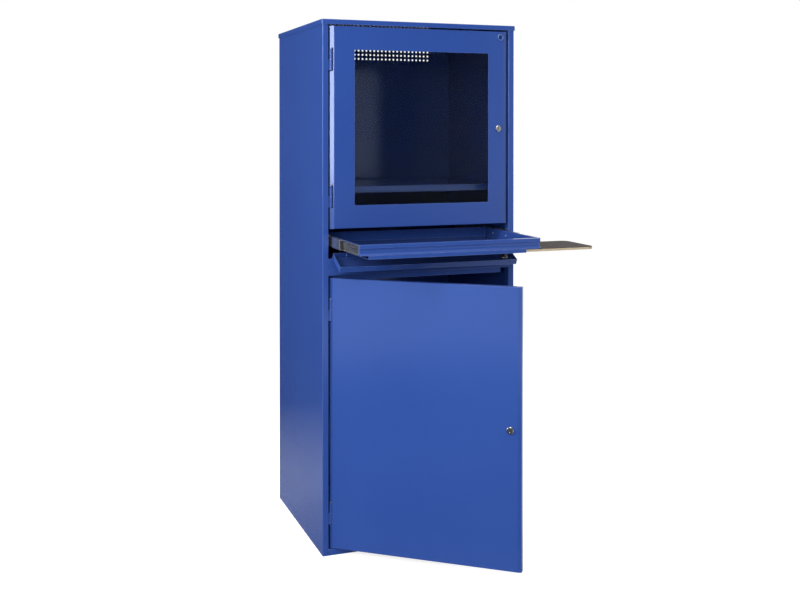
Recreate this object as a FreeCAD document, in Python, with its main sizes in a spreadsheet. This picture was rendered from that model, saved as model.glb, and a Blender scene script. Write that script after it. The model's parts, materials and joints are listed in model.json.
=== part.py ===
import FreeCAD, Part
import math
import os
from types import SimpleNamespace

import Sketcher

# Steel computer cabinet, in millimetres. It stands on z = 0, centred on the
# origin, with its front facing -Y and +X to the right. Moving pieces are drawn
# closed, and their Placement then opens them as far as they stand open at rest.

driving_sizes = {
    # carcass
    "cabinet_depth": 550,
    "cabinet_height": 1650,
    "sheet": 1.5,
    "bend_radius": 2,
    "stile_width": 19,
    "stile_return": 25,
    "cover_skirt": 15,
    "cover_overhang": 3,
    "cover_corner_radius": 3,
    "base_height": 20,
    "base_flange": 25,
    "inner_setback": 1,
    "vent_diameter": 7,
    "vent_pitch": 15,
    "vent_columns": 33,
    "vent_rows": 4,
    "vent_drop": 36,
    # rail, keyboard bay, partitions and shelf
    "rail_top": 914,
    "bay_height": 92,
    "rail_height": 52,
    "rail_return": 25,
    "stop_lip": 18,
    "stop_lip_inset": 19,
    "stop_gap": 0.5,
    "partition_flange": 18,
    "shelf_rise": 127,
    "shelf_lip": 20,
    "shelf_setback": 50,
    "shelf_back_gap": 67,
    "shelf_side_gap": 1,
    "shelf_bracket_leg": 24,
    "shelf_bracket_inset": 15,
    # doors
    "door_side_gap": 6,
    "door_depth": 20,
    "door_bevel": 12,
    "door_bevel_depth": 5,
    "upper_door_top_gap": 5,
    "lower_door_bottom_gap": 3,
    "lower_door_top_gap": 7,
    "lower_door_angle": 38.5,
    "window_left_inset": 78,
    "window_width": 455,
    "window_right_inset": 67,
    "window_bottom_inset": 71,
    "window_top_inset": 72,
    "window_corner_radius": 3,
    "pane_thickness": 3,
    "pane_lap": 12,
    "pane_fit": 0.3,
    "retainer_rim": 7,
    "retainer_cover": 1.5,
    "retainer_sight_gap": 2,
    "stiffener_width": 70,
    "stiffener_height": 14,
    "stiffener_flange": 15,
    "stiffener_inset": 60,
    # blanking plug
    "plug_inset": 24,
    "plug_drop": 19,
    "plug_radius": 10.5,
    "plug_rise": 2.5,
    "plug_chamfer": 1,
    "plug_dish_radius": 7,
    "plug_dish_depth": 1.5,
    "plug_stem_radius": 8,
    "plug_stem_length": 6,
    "plug_fit": 0.1,
    # door hinges
    "hinge_height": 67,
    "hinge_axis_inset": 3,
    "hinge_axis_depth": 6,
    "hinge_barrel_radius": 5.5,
    "hinge_pin_radius": 3,
    "hinge_pin_head_radius": 4.5,
    "hinge_pin_head_height": 1.5,
    "hinge_pin_fit": 0.05,
    "hinge_knuckle_gap": 0.6,
    "hinge_web": 4,
    "hinge_leaf": 2,
    "hinge_notch_room": 1.2,
    "hinge_notch_radius": 4,
    "upper_hinge_drop": 103,
    "upper_hinge_rise": 100,
    "lower_hinge_drop": 98,
    "lower_hinge_rise": 107,
    # locks
    "lock_inset": 33,
    "upper_lock_drop": 3,
    "lower_lock_drop": 2,
    "flap_lock_inset": 25,
    "lock_head_radius": 10.5,
    "lock_head_rise": 8,
    "lock_head_chamfer": 1.5,
    "lock_barrel_radius": 8,
    "lock_barrel_length": 26.5,
    "lock_hole_fit": 0.1,
    "lock_core_radius": 5.5,
    "lock_core_recess": 1,
    "lock_core_fit": 0.05,
    "lock_nut_width": 22,
    "lock_nut_thickness": 4,
    "keyway_width": 1.6,
    "keyway_height": 7,
    "keyway_depth": 4,
    "cam_gap": 0.3,
    "cam_thickness": 2,
    "cam_width": 14,
    "cam_reach": 44,
    "cam_round": 3,
    "cam_square": 6,
    "cam_fit": 0.05,
    "cam_tail": 1.5,
    # flap
    "flap_side_gap": 11,
    "flap_top_gap": 3.5,
    "flap_depth": 19,
    "flap_angle": 115,
    "flap_knuckle_radius": 3,
    "flap_pin_radius": 1.5,
    "flap_pin_fit": 0.05,
    "flap_leaf_width": 14,
    "flap_leaf_gauge": 1.2,
    "flap_knuckles": 5,
    "flap_knuckle_gap": 0.3,
    # keyboard drawer and its slides
    "drawer_side_gap": 18,
    "drawer_rise": 36,
    "drawer_height": 32,
    "drawer_setback": 32,
    "drawer_out": 286,
    "drawer_front_depth": 12,
    "drawer_front_lip": 10,
    "cove_depth": 5,
    "cove_bottom_strip": 2,
    "tray_depth": 383,
    "slide_thickness": 12.7,
    "slide_gauge": 1.2,
    "slide_clearance": 0.3,
    "slide_height": 35,
    "slide_rise": 17,
    "slide_lip": 9,
    "slide_length": 400,
    "runner_length": 380,
    "runner_setback": 19,
    "slide_hole_radius": 3,
    "slide_hole_pitch": 48,
    "slide_holes": 7,
    "slide_hole_inset": 30,
    "slide_bracket_height": 30,
    "stop_length": 8,
    "stop_room": 0.8,
    # mouse board
    "sleeve_left_inset": 26,
    "sleeve_right_inset": 47,
    "sleeve_setback": 0.5,
    "board_length": 420,
    "board_depth": 185,
    "board_core": 7,
    "board_laminate": 1,
    "board_fit": 0.3,
    "board_room": 0.7,
    "board_out": 239,
    "board_corner_radius": 25,
    # every cut runs this far past the solid
    "overrun": 2,
}

match_tolerance = 1e-3
hexagon_sides = 6
hexagon_share = 1 / math.sqrt(3)

doc = FreeCAD.newDocument("computer_cabinet")
sheet = doc.addObject("Spreadsheet::Sheet", "Sizes")
for row, (alias, number) in enumerate(driving_sizes.items(), start=1):
    sheet.set("A%d" % row, alias)
    sheet.set("B%d" % row, str(number))
    sheet.setAlias("B%d" % row, alias)
doc.recompute()


class Size:
    # a number together with the sheet expression that gives it
    def __init__(self, text, value):
        self.text = text
        self.value = value

    def __add__(self, other):
        return Size("(%s + %s)" % (self.text, other.text), self.value + other.value)

    def __sub__(self, other):
        return Size("(%s - %s)" % (self.text, other.text), self.value - other.value)

    def __mul__(self, share):
        return Size("(%s * (%r))" % (self.text, share), self.value * share)

    def __truediv__(self, share):
        return self * (1 / share)

    def __neg__(self):
        return self * -1


zero = Size("0", 0)
size = SimpleNamespace()
for alias in driving_sizes:
    setattr(size, alias, Size("Sizes." + alias, float(sheet.get(alias))))
nodes = []


# Sketches and features

class Round:
    # a circle in a sketch
    def __init__(self, centre, radius):
        self.centre = centre
        self.radius = radius


def rectangle(low, high):
    return [low, (high[0], low[1]), high, (low[0], high[1])]


def folded(path, gauge, turn):
    # outline of a folded sheet whose outer faces follow path: its thickness
    # lies on the left of the path for turn 1 and on the right for turn -1
    normals = []
    for start, end in zip(path, path[1:]):
        run = [b.value - a.value for a, b in zip(start, end)]
        length = math.hypot(*run)
        normals.append((-run[1] / length * turn, run[0] / length * turn))
    inner = []
    for number, point in enumerate(path):
        beside = normals[max(number - 1, 0):number + 1]
        shares = [round(sum(normal[axis] for normal in beside)) for axis in (0, 1)]
        inner.append(tuple(place + gauge * share for place, share in zip(point, shares)))
    return list(path) + inner[::-1]


def new_body(label):
    body = doc.addObject("PartDesign::Body", label)
    body.Label = label
    body.AllowCompound = True
    nodes.append(body)
    return body


def new_sketch(body, role, level):
    plane = next(item for item in body.Origin.OriginFeatures if item.Role == role)
    sketch = body.newObject("Sketcher::SketchObject", body.Name + "_sketch")
    sketch.AttachmentSupport = [(plane, "")]
    sketch.MapMode = "FlatFace"
    sketch.setExpression("AttachmentOffset.Base.z", level.text)
    return sketch


def fix_point(sketch, curve, corner, point):
    for kind, place in zip(("DistanceX", "DistanceY"), point):
        rule = Sketcher.Constraint(kind, -1, 1, curve, corner, place.value)
        number = sketch.addConstraint(rule)
        sketch.setExpression("Constraints[%d]" % number, place.text)


def flat_vector(point):
    return FreeCAD.Vector(point[0].value, point[1].value, 0)


def draw_outline(sketch, points):
    count = len(points)
    for number in range(count):
        start = flat_vector(points[number])
        end = flat_vector(points[(number + 1) % count])
        sketch.addGeometry(Part.LineSegment(start, end), False)
    for number in range(count):
        after = (number + 1) % count
        sketch.addConstraint(Sketcher.Constraint("Coincident", number, 2, after, 1))
        fix_point(sketch, number, 1, points[number])


def draw_circle(sketch, shape):
    up = FreeCAD.Vector(0, 0, 1)
    circle = Part.Circle(flat_vector(shape.centre), up, shape.radius.value)
    curve = sketch.addGeometry(circle, False)
    fix_point(sketch, curve, 3, shape.centre)
    number = sketch.addConstraint(Sketcher.Constraint("Radius", curve, shape.radius.value))
    sketch.setExpression("Constraints[%d]" % number, shape.radius.text)


def extrude(body, kind, role, shape, level, length):
    before = body.Shape.Volume if body.Tip else 0
    sketch = new_sketch(body, role, level)
    if isinstance(shape, Round):
        draw_circle(sketch, shape)
    else:
        draw_outline(sketch, shape)
    feature = body.newObject("PartDesign::" + kind, body.Name + "_" + kind.lower())
    feature.Profile = sketch
    feature.setExpression("Length", length.text)
    doc.recompute()
    grown = body.Shape.Volume - before
    if grown == 0 or (grown > 0) != (kind == "Pad"):
        raise RuntimeError("%s on %s points the wrong way" % (kind, body.Label))
    return feature


def pad_x(body, shape, low, high):
    return extrude(body, "Pad", "YZ_Plane", shape, low, high - low)


def pad_y(body, shape, low, high):
    return extrude(body, "Pad", "XZ_Plane", shape, -high, high - low)


def pad_z(body, shape, low, high):
    return extrude(body, "Pad", "XY_Plane", shape, low, high - low)


def cut_x(body, shape, low, high):
    return extrude(body, "Pocket", "YZ_Plane", shape, high, high - low)


def cut_y(body, shape, low, high):
    return extrude(body, "Pocket", "XZ_Plane", shape, -low, high - low)


def cut_z(body, shape, low, high):
    return extrude(body, "Pocket", "XY_Plane", shape, high, high - low)


def lies_at(edge, places):
    box = edge.BoundBox
    spans = {"x": (box.XMin, box.XMax), "y": (box.YMin, box.YMax), "z": (box.ZMin, box.ZMax)}
    ends = [(end, place.value) for axis, place in places.items() for end in spans[axis]]
    return all(abs(end - value) < match_tolerance for end, value in ends)


def dress_edges(body, kind, measure, amount, edge_places):
    feature = body.Tip
    names = []
    for number, edge in enumerate(feature.Shape.Edges, start=1):
        if any(lies_at(edge, places) for places in edge_places):
            names.append("Edge%d" % number)
    dressing = body.newObject("PartDesign::" + kind, body.Name + "_" + kind.lower())
    dressing.Base = (feature, names)
    dressing.setExpression(measure, amount.text)
    doc.recompute()


def round_edges(body, radius, *edge_places):
    dress_edges(body, "Fillet", "Radius", radius, edge_places)


def chamfer_edges(body, width, *edge_places):
    dress_edges(body, "Chamfer", "Size", width, edge_places)


def repeat(body, feature, **rows):
    # a grid of one feature: rows name a sketch axis, its count and its pitch
    sketch = feature.Profile[0]
    grid = body.newObject("PartDesign::LinearPattern", body.Name + "_pattern")
    grid.Originals = [feature]
    for suffix, (axis, (count, pitch)) in zip(("", "2"), rows.items()):
        setattr(grid, "Direction" + suffix, (sketch, [axis]))
        setattr(grid, "Mode" + suffix, "Spacing")
        grid.setExpression("Offset" + suffix, pitch.text)
        grid.setExpression("Occurrences" + suffix, count.text)
    body.Tip = grid
    doc.recompute()


def mirrored(side, low, high):
    return (low, high) if side > 0 else (-high, -low)


def across(side, points):
    return [(point[0] * side, point[1]) for point in points]


# Places that several pieces share

door_half = (size.window_left_inset + size.window_width + size.window_right_inset) / 2
opening = door_half + size.door_side_gap
half_width = opening + size.stile_width
front = -size.cabinet_depth / 2
back = size.cabinet_depth / 2
top = size.cabinet_height
under_cover = top - size.sheet
inside = half_width - size.sheet
rear = back - size.sheet
inner_front = front + size.stile_return + size.inner_setback
inner_back = rear - size.sheet

rail_bottom = size.rail_top - size.rail_height
bay_top = size.rail_top + size.bay_height
door_back = front + size.door_depth
upper_top = top - size.cover_skirt - size.upper_door_top_gap
shelf_top = bay_top + size.shelf_rise
lower_bottom = size.base_height + size.lower_door_bottom_gap
lower_top = rail_bottom - size.lower_door_top_gap
skin_back = front + size.sheet

hinge_x = -door_half + size.hinge_axis_inset
hinge_y = front + size.hinge_axis_depth
lock_x = door_half - size.lock_inset

flap_half = opening - size.flap_side_gap
flap_axis = size.rail_top + size.flap_knuckle_radius
flap_bottom = flap_axis + size.flap_knuckle_radius
flap_top = bay_top - size.flap_top_gap
flap_lock_x = flap_half - size.flap_lock_inset

tray_half = opening - size.drawer_side_gap
drawer_face = front + size.drawer_setback
tray_front = drawer_face + size.drawer_front_depth
tray_back = tray_front + size.tray_depth
drawer_bottom = size.rail_top + size.drawer_rise
drawer_top = drawer_bottom + size.drawer_height
slide_level = drawer_bottom + size.slide_rise
slide_face = tray_half + size.slide_thickness
slide_step = size.slide_gauge + size.slide_clearance


# Carcass

def side_panel(label, side):
    body = new_body(label)
    path = [
        (opening, front + size.stile_return),
        (opening, front),
        (half_width, front),
        (half_width, back),
        (opening, back),
    ]
    pad_z(body, folded(across(side, path), size.sheet, side), zero, under_cover)
    outer_x = half_width * side
    bends = [(outer_x, front), (outer_x, back), (opening * side, front)]
    round_edges(body, size.bend_radius, *({"x": x, "y": y} for x, y in bends))


def back_panel():
    body = new_body("back_panel")
    sheet_outline = rectangle((-inside, size.base_height), (inside, under_cover))
    pad_y(body, sheet_outline, inner_back, rear)
    reach = size.vent_pitch * ((size.vent_columns.value - 1) / 2)
    lowest = top - size.vent_drop - size.vent_pitch * (size.vent_rows.value - 1)
    hole = Round((-reach, lowest), size.vent_diameter / 2)
    vent = cut_y(body, hole, inner_back - size.overrun, rear + size.overrun)
    columns = (size.vent_columns, size.vent_pitch)
    rows = (size.vent_rows, size.vent_pitch)
    repeat(body, vent, H_Axis=columns, V_Axis=rows)


def top_cover():
    body = new_body("top_cover")
    wide = half_width + size.cover_overhang
    deep = back + size.cover_overhang
    skirt_bottom = top - size.cover_skirt
    pad_z(body, rectangle((-wide, -deep), (wide, deep)), skirt_bottom, top)
    corners = [{"x": wide * a, "y": deep * b} for a in (-1, 1) for b in (-1, 1)]
    round_edges(body, size.cover_corner_radius, *corners)
    round_edges(body, size.bend_radius, {"z": top})
    wall_x = wide - size.sheet
    wall_y = deep - size.sheet
    cut_z(body, rectangle((-wall_x, -wall_y), (wall_x, wall_y)), skirt_bottom, under_cover)


def base_pan():
    body = new_body("base_pan")
    path = [
        (front + size.base_flange, zero),
        (front, zero),
        (front, size.base_height),
        (rear, size.base_height),
        (rear, zero),
        (rear - size.base_flange, zero),
    ]
    pad_x(body, folded(path, size.sheet, -1), -opening, opening)
    round_edges(body, size.bend_radius, {"y": front, "z": size.base_height})
    floor = rectangle((-inside, inner_front), (inside, rear))
    pad_z(body, floor, size.base_height - size.sheet, size.base_height)


def middle_rail():
    body = new_body("middle_rail")
    lip_y = door_back + size.stop_gap
    lip_bottom = rail_bottom - size.stop_lip
    path = [
        (front + size.rail_return, size.rail_top),
        (front, size.rail_top),
        (front, rail_bottom),
        (lip_y, rail_bottom),
        (lip_y, lip_bottom),
    ]
    pad_x(body, folded(path, size.sheet, 1), -opening, opening)
    bends = [{"y": front, "z": size.rail_top}, {"y": front, "z": rail_bottom}]
    round_edges(body, size.bend_radius, *bends)
    lip_end = opening - size.stop_lip_inset
    for side in (-1, 1):
        low, high = mirrored(side, lip_end, opening + size.overrun)
        gap = rectangle((lip_y - size.overrun, lip_bottom - size.overrun),
                        (lip_y + size.overrun, rail_bottom))
        cut_x(body, gap, low, high)


def partition(label, high, end_wall):
    # a shelf across the whole carcass, with its edges folded down
    body = new_body(label)
    low = high - size.partition_flange
    pad_z(body, rectangle((-inside, inner_front), (inside, inner_back)), low, high)
    hollow = rectangle((-inside + size.sheet, inner_front + end_wall),
                       (inside - size.sheet, inner_back - end_wall))
    cut_z(body, hollow, low, high - size.sheet)


def monitor_shelf():
    body = new_body("monitor_shelf")
    wide = inside - size.shelf_side_gap
    low_y = front + size.shelf_setback
    high_y = inner_back - size.shelf_back_gap
    lip_bottom = shelf_top - size.shelf_lip
    pad_z(body, rectangle((-wide, low_y), (wide, high_y)), lip_bottom, shelf_top)
    round_edges(body, size.bend_radius, {"y": low_y, "z": shelf_top})
    hollow = rectangle((-wide + size.sheet, low_y + size.sheet),
                       (wide - size.sheet, high_y - size.sheet))
    cut_z(body, hollow, lip_bottom, shelf_top - size.sheet)


def shelf_bracket(label, side):
    body = new_body(label)
    level = shelf_top - size.shelf_lip
    path = [
        (inside - size.shelf_bracket_leg, level),
        (inside, level),
        (inside, level - size.shelf_bracket_leg),
    ]
    low_y = front + size.shelf_setback + size.shelf_bracket_inset
    high_y = inner_back - size.shelf_back_gap - size.shelf_bracket_inset
    pad_y(body, folded(across(side, path), size.sheet, -side), low_y, high_y)


# Doors

def door_panel(label, bottom, high, hinge_levels):
    # a folded pan with its long edges bevelled and its back open
    body = new_body(label)
    crease = door_half - size.door_bevel
    shoulder = front + size.door_bevel_depth
    outer = [
        (-door_half, door_back),
        (-door_half, shoulder),
        (-crease, front),
        (crease, front),
        (door_half, shoulder),
        (door_half, door_back),
    ]
    pad_z(body, outer, bottom, high)
    edges = [{"y": front, "z": bottom}, {"y": front, "z": high}]
    edges += [{"x": -crease, "y": front}, {"x": crease, "y": front}]
    round_edges(body, size.bend_radius, *edges)
    cut_hinge_notches(body, hinge_levels)
    wall = door_half - size.sheet
    turn = math.atan2(size.door_bevel_depth.value, size.door_bevel.value)
    face_miter_share = math.tan(turn / 2)
    wall_miter_share = math.tan(math.pi / 4 - turn / 2)
    inner_shoulder = shoulder + size.sheet * wall_miter_share
    inner_crease = crease - size.sheet * face_miter_share
    inner = [
        (-wall, door_back + size.overrun),
        (-wall, inner_shoulder),
        (-inner_crease, skin_back),
        (inner_crease, skin_back),
        (wall, inner_shoulder),
        (wall, door_back + size.overrun),
    ]
    cut_z(body, inner, bottom + size.sheet, high - size.sheet)
    return body


def cut_lock_hole(body, lock_centre):
    hole = Round(lock_centre, size.lock_barrel_radius + size.lock_hole_fit)
    cut_y(body, hole, front - size.overrun, skin_back + size.overrun)


def cut_hinge_notches(body, levels):
    # rounded notches in the bevel, so that the knuckles stand clear of it
    reach = size.hinge_barrel_radius + size.hinge_notch_room
    half = size.hinge_height / 2 + size.hinge_pin_head_height + size.hinge_notch_room
    edge_x = hinge_x + reach
    for level in levels:
        notch = rectangle((-door_half - size.overrun, level - half), (edge_x, level + half))
        cut_y(body, notch, front - size.overrun, hinge_y + reach)
        corners = [{"x": edge_x, "z": level - half}, {"x": edge_x, "z": level + half}]
        round_edges(body, size.hinge_notch_radius, *corners)


def hinge(door, place, level):
    half = size.hinge_height / 2
    gap = size.hinge_knuckle_gap / 2
    axis = (hinge_x, hinge_y)
    bore = Round(axis, size.hinge_pin_radius + size.hinge_pin_fit)
    barrel = Round(axis, size.hinge_barrel_radius)
    web = rectangle((-opening, hinge_y - size.hinge_web / 2), (hinge_x, hinge_y + size.hinge_web / 2))
    leaf_x = -door_half + size.sheet
    leaf = rectangle((leaf_x, hinge_y), (leaf_x + size.hinge_leaf, door_back))
    halves = [
        ("frame", web, level - half, level - gap),
        ("door", leaf, level + gap, level + half),
    ]
    made = []
    for carrier, arm, low, high in halves:
        body = new_body("%s_door_%s_hinge_%s_knuckle" % (door, place, carrier))
        pad_z(body, barrel, low, high)
        pad_z(body, arm, low, high)
        cut_z(body, bore, low - size.overrun, high + size.overrun)
        made.append(body)
    return made[1]


def hinge_pins(door, levels):
    body = new_body("%s_door_hinge_pins" % door)
    half = size.hinge_height / 2
    axis = (hinge_x, hinge_y)
    for level in levels:
        seat = level + half + size.hinge_pin_fit
        pad_z(body, Round(axis, size.hinge_pin_radius), level - half, seat)
        pad_z(body, Round(axis, size.hinge_pin_head_radius), seat, seat + size.hinge_pin_head_height)


def lock(owner, centre, cam_points_right):
    # a cam lock: the housing and nut stay, the plug and cam turn
    x, z = centre
    face = front - size.lock_head_rise
    barrel_end = front + size.lock_barrel_length
    housing = new_body(owner + "_lock_housing")
    pad_y(housing, Round(centre, size.lock_head_radius), face, front)
    chamfer_edges(housing, size.lock_head_chamfer, {"y": face})
    pad_y(housing, Round(centre, size.lock_barrel_radius), front, barrel_end)
    bore = Round(centre, size.lock_core_radius + size.lock_core_fit)
    cut_y(housing, bore, face - size.overrun, barrel_end + size.overrun)

    nut = new_body(owner + "_lock_nut")
    corner = size.lock_nut_width * hexagon_share
    turns = [math.tau * step / hexagon_sides for step in range(hexagon_sides)]
    hexagon = [(x + corner * math.cos(turn), z + corner * math.sin(turn)) for turn in turns]
    nut_back = skin_back + size.lock_nut_thickness
    pad_y(nut, hexagon, skin_back, nut_back)
    thread = Round(centre, size.lock_barrel_radius + size.lock_core_fit)
    cut_y(nut, thread, skin_back - size.overrun, nut_back + size.overrun)

    core = new_body(owner + "_lock_plug")
    core_face = face + size.lock_core_recess
    pad_y(core, Round(centre, size.lock_core_radius), core_face, barrel_end)
    key_x = size.keyway_width / 2
    key_z = size.keyway_height / 2
    keyway = rectangle((x - key_x, z - key_z), (x + key_x, z + key_z))
    cut_y(core, keyway, core_face - size.overrun, core_face + size.keyway_depth)
    cam_front = barrel_end + size.cam_gap
    cam_back = cam_front + size.cam_thickness
    tail = size.cam_square / 2
    square = rectangle((x - tail, z - tail), (x + tail, z + tail))
    pad_y(core, square, barrel_end, cam_back + size.cam_tail)

    cam = new_body(owner + "_lock_cam")
    half = size.cam_width / 2
    if cam_points_right:
        low, high = (x - half, z - half), (x + size.cam_reach, z + half)
    else:
        low, high = (x - half, z - size.cam_reach), (x + half, z + half)
    pad_y(cam, rectangle(low, high), cam_front, cam_back)
    ends = [{"x": a, "z": b} for a in (low[0], high[0]) for b in (low[1], high[1])]
    round_edges(cam, size.cam_round, *ends)
    hole = tail + size.cam_fit
    window = rectangle((x - hole, z - hole), (x + hole, z + hole))
    cut_y(cam, window, cam_front - size.overrun, cam_back + size.overrun)
    return [housing, nut, core, cam]


def upper_door():
    levels = [upper_top - size.upper_hinge_drop, bay_top + size.upper_hinge_rise]
    lock_centre = (lock_x, (bay_top + upper_top) / 2 - size.upper_lock_drop)
    plug_centre = (door_half - size.plug_inset, upper_top - size.plug_drop)
    window_low = (-door_half + size.window_left_inset, bay_top + size.window_bottom_inset)
    window_high = (window_low[0] + size.window_width, upper_top - size.window_top_inset)

    def around_window(margin):
        low = tuple(place - margin for place in window_low)
        high = tuple(place + margin for place in window_high)
        return rectangle(low, high)

    panel = door_panel("upper_door_panel", bay_top, upper_top, levels)
    cut_y(panel, around_window(zero), front - size.overrun, skin_back + size.overrun)
    corners = [(x, z) for x in (window_low[0], window_high[0]) for z in (window_low[1], window_high[1])]
    round_edges(panel, size.window_corner_radius, *({"x": x, "z": z} for x, z in corners))
    cut_lock_hole(panel, lock_centre)
    plug_hole = Round(plug_centre, size.plug_stem_radius + size.plug_fit)
    cut_y(panel, plug_hole, front - size.overrun, skin_back + size.overrun)

    pane = new_body("window_pane")
    pane_back = skin_back + size.pane_thickness
    pad_y(pane, around_window(size.pane_lap), skin_back, pane_back)

    retainer = new_body("window_retainer")
    retainer_back = pane_back + size.retainer_cover
    pad_y(retainer, around_window(size.pane_lap + size.retainer_rim), skin_back, retainer_back)
    sight = around_window(size.retainer_sight_gap)
    cut_y(retainer, sight, skin_back - size.overrun, retainer_back + size.overrun)
    cut_y(retainer, around_window(size.pane_lap + size.pane_fit), skin_back - size.overrun, pane_back)

    plug = new_body("blanking_plug")
    plug_face = front - size.plug_rise
    pad_y(plug, Round(plug_centre, size.plug_radius), plug_face, front)
    chamfer_edges(plug, size.plug_chamfer, {"y": plug_face})
    dish = Round(plug_centre, size.plug_dish_radius)
    cut_y(plug, dish, plug_face - size.overrun, plug_face + size.plug_dish_depth)
    pad_y(plug, Round(plug_centre, size.plug_stem_radius), front, front + size.plug_stem_length)

    for place, level in zip(("top", "bottom"), levels):
        hinge("upper", place, level)
    hinge_pins("upper", levels)
    lock("upper_door", lock_centre, False)


def lower_door():
    levels = [lower_top - size.lower_hinge_drop, lower_bottom + size.lower_hinge_rise]
    lock_centre = (lock_x, (lower_bottom + lower_top) / 2 - size.lower_lock_drop)
    panel = door_panel("lower_door_panel", lower_bottom, lower_top, levels)
    cut_lock_hole(panel, lock_centre)

    stiffener = new_body("lower_door_stiffener")
    half = size.stiffener_width / 2
    crest = skin_back + size.stiffener_height
    path = [
        (-half - size.stiffener_flange, skin_back),
        (-half, skin_back),
        (-half, crest),
        (half, crest),
        (half, skin_back),
        (half + size.stiffener_flange, skin_back),
    ]
    low = lower_bottom + size.stiffener_inset
    pad_z(stiffener, folded(path, size.sheet, 1), low, lower_top - size.stiffener_inset)

    swinging = [panel, stiffener]
    for place, level in zip(("top", "bottom"), levels):
        swinging.append(hinge("lower", place, level))
    hinge_pins("lower", levels)
    swinging += lock("lower_door", lock_centre, False)
    axis_point = FreeCAD.Vector(hinge_x.value, hinge_y.value, 0)
    upright = FreeCAD.Vector(0, 0, 1)
    turn_open(swinging, axis_point, upright, -size.lower_door_angle.value)


# Flap and its long hinge

def flap():
    panel = new_body("flap_panel")
    flap_back = front + size.flap_depth
    pad_y(panel, rectangle((-flap_half, flap_bottom), (flap_half, flap_top)), front, flap_back)
    round_edges(panel, size.bend_radius, {"y": front})
    wall = flap_half - size.sheet
    hollow = rectangle((-wall, flap_bottom + size.sheet), (wall, flap_top - size.sheet))
    cut_y(panel, hollow, skin_back, flap_back + size.overrun)
    lock_centre = (flap_lock_x, (flap_bottom + flap_top) / 2)
    cut_lock_hole(panel, lock_centre)

    leaf = hinge_leaf("flap_hinge_flap_leaf", flap_bottom - size.flap_leaf_gauge, 1)
    hinge_leaf("flap_hinge_rail_leaf", size.rail_top, 0)
    pin = new_body("flap_hinge_pin")
    pad_x(pin, Round((front, flap_axis), size.flap_pin_radius), -flap_half, flap_half)
    swinging = [panel, leaf] + lock("flap", lock_centre, True)
    axis_point = FreeCAD.Vector(0, front.value, flap_axis.value)
    turn_open(swinging, axis_point, FreeCAD.Vector(1, 0, 0), size.flap_angle.value)


def hinge_leaf(label, low, first):
    # a strip with every second knuckle of the hinge, counted from first
    body = new_body(label)
    high = low + size.flap_leaf_gauge
    strip_y = front + size.flap_knuckle_radius + size.flap_knuckle_gap
    strip = rectangle((strip_y, low), (front + size.flap_leaf_width, high))
    pad_x(body, strip, -flap_half, flap_half)
    count = int(size.flap_knuckles.value)
    pitch = flap_half * (2 / count)
    half_gap = size.flap_knuckle_gap / 2
    axis = (front, flap_axis)
    for number in range(first, count, 2):
        start = -flap_half + pitch * number + half_gap
        end = -flap_half + pitch * (number + 1) - half_gap
        pad_x(body, Round(axis, size.flap_knuckle_radius), start, end)
        pad_x(body, rectangle((front, low), (strip_y, high)), start, end)
    bore = Round(axis, size.flap_pin_radius + size.flap_pin_fit)
    cut_x(body, bore, -flap_half - size.overrun, flap_half + size.overrun)
    return body


# Keyboard drawer, slides and mouse board

def channel(label, side, web, lip_end, half_height, turn, low_y, high_y):
    # a slide member: a web with two lips, all in the slide's gauge
    body = new_body(label)
    path = [
        (lip_end, slide_level + half_height),
        (web, slide_level + half_height),
        (web, slide_level - half_height),
        (lip_end, slide_level - half_height),
    ]
    pad_y(body, folded(across(side, path), size.slide_gauge, turn * side), low_y, high_y)
    return body


def slides(side, name):
    half = size.slide_height / 2
    bracket = new_body("slide_bracket_" + name)
    bracket_half = size.slide_bracket_height / 2
    path = [
        (inside, slide_level + bracket_half),
        (slide_face, slide_level + bracket_half),
        (slide_face, slide_level - bracket_half),
        (inside, slide_level - bracket_half),
    ]
    slide_end = drawer_face + size.slide_length
    pad_y(bracket, folded(across(side, path), size.sheet, side), drawer_face, slide_end)
    channel("slide_fixed_" + name, side, slide_face, slide_face - size.slide_lip, half, -1,
            drawer_face, slide_end)

    runner_web = slide_face - slide_step
    runner_front = drawer_face + size.runner_setback
    runner = channel("slide_runner_" + name, side, runner_web, runner_web - size.slide_lip,
                     half - slide_step, -1, runner_front, runner_front + size.runner_length)

    inner_half = half - slide_step * 2
    inner = channel("slide_inner_" + name, side, tray_half, tray_half + size.slide_lip,
                    inner_half, 1, tray_front, tray_back)
    hole = Round((tray_front + size.slide_hole_inset, slide_level), size.slide_hole_radius)
    low, high = mirrored(side, tray_half - size.overrun, tray_half + size.slide_gauge + size.overrun)
    first = cut_x(inner, hole, low, high)
    repeat(inner, first, H_Axis=(size.slide_holes, size.slide_hole_pitch))

    stop = new_body("slide_stop_" + name)
    stop_half = inner_half - size.slide_gauge - size.stop_room
    low, high = mirrored(side, tray_half + size.slide_gauge + size.stop_room,
                         runner_web - size.slide_gauge)
    block = rectangle((low, slide_level - stop_half), (high, slide_level + stop_half))
    pad_y(stop, block, runner_front, runner_front + size.stop_length)
    return [inner], [runner, stop]


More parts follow.
